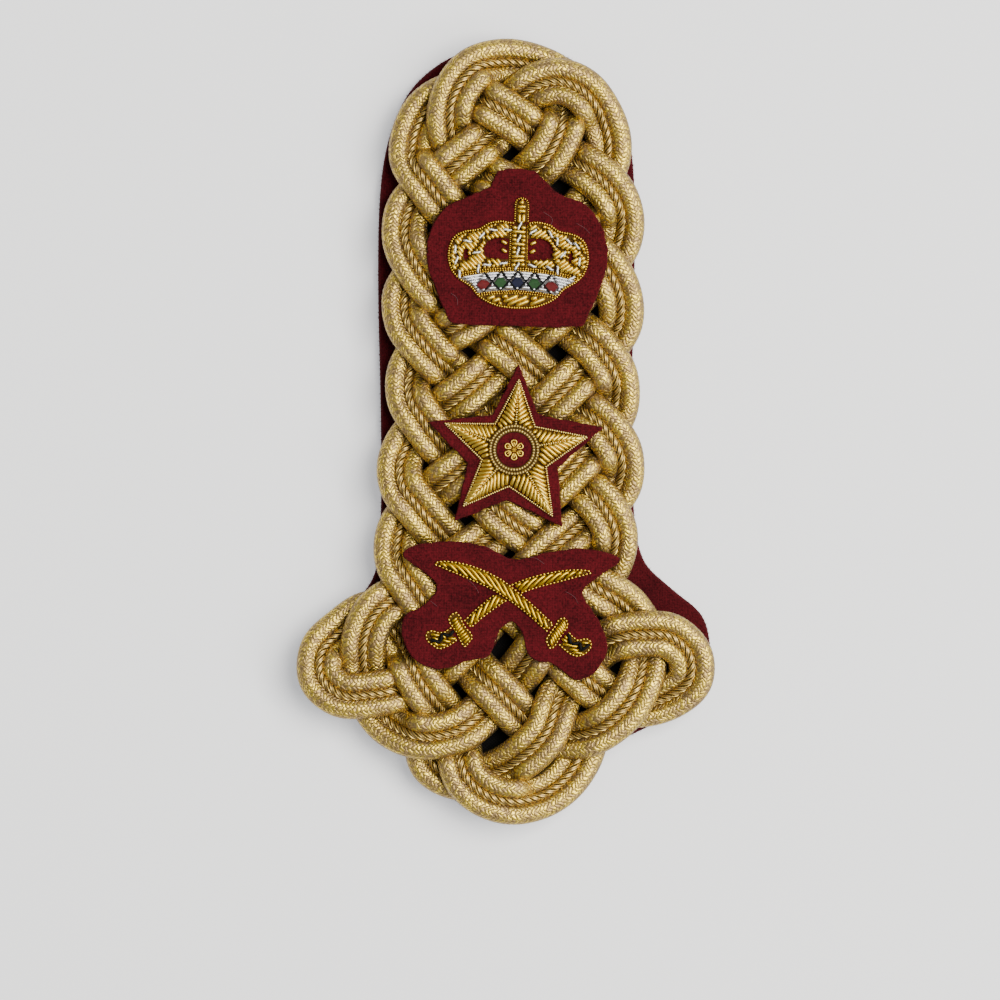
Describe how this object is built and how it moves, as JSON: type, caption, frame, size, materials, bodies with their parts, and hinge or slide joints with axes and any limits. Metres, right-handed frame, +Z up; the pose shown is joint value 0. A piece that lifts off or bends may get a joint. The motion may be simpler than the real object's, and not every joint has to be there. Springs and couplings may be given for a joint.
{
  "type": "plaited shoulder board",
  "caption": "Felt-covered shoulder board with a plait of gold cord and felt patches embroidered with a crown, a star and crossed sabres.",
  "frame": {"origin": "middle of the underside of the whole part's box, where it rests on a table", "axes": "+X across the board, +Y towards the round collar end, +Z up out of the embroidered face"},
  "size_m": [0.0819, 0.1562, 0.0139],
  "materials": {
    "felt_red": "matt wool felt",
    "cloth_black": "matt woven cloth",
    "tongue_cloth": "matt woven cloth",
    "gimp_gold": "braided metallic thread",
    "twist_gold": "twisted metallic thread",
    "bullion_gold": "bright wire bullion",
    "plate_silver": "flat silver strip",
    "thread_red": "satin stitch",
    "thread_green": "satin stitch",
    "thread_blue": "satin stitch"
  },
  "bodies": {
    "root": {"fixing_tongue": "tongue_cloth", "backing_board": "felt_red", "underlay": "cloth_black", "gimp_cord_left": "gimp_gold", "gimp_cord_right": "gimp_gold", "twist_cord": "twist_gold", "crown_patch": "felt_red", "star_patch": "felt_red", "sabre_patch": "felt_red", "crown_arches": "bullion_gold", "crown_band": "plate_silver", "crown_rim": "bullion_gold", "crown_lozenge_1": "thread_red", "crown_lozenge_2": "thread_green", "crown_lozenge_3": "thread_blue", "crown_lozenge_4": "thread_green", "crown_lozenge_5": "thread_red", "star_bullion": "bullion_gold", "star_ring_outer": "bullion_gold", "star_ring_inner": "bullion_gold", "star_roundel": "felt_red", "rosette": "bullion_gold", "sabre_over_blade": "bullion_gold", "sabre_over_guard": "bullion_gold", "sabre_over_grip": "bullion_gold", "sabre_under_blade": "bullion_gold", "sabre_under_guard": "bullion_gold", "sabre_under_grip": "bullion_gold"}
  },
  "joints": []
}
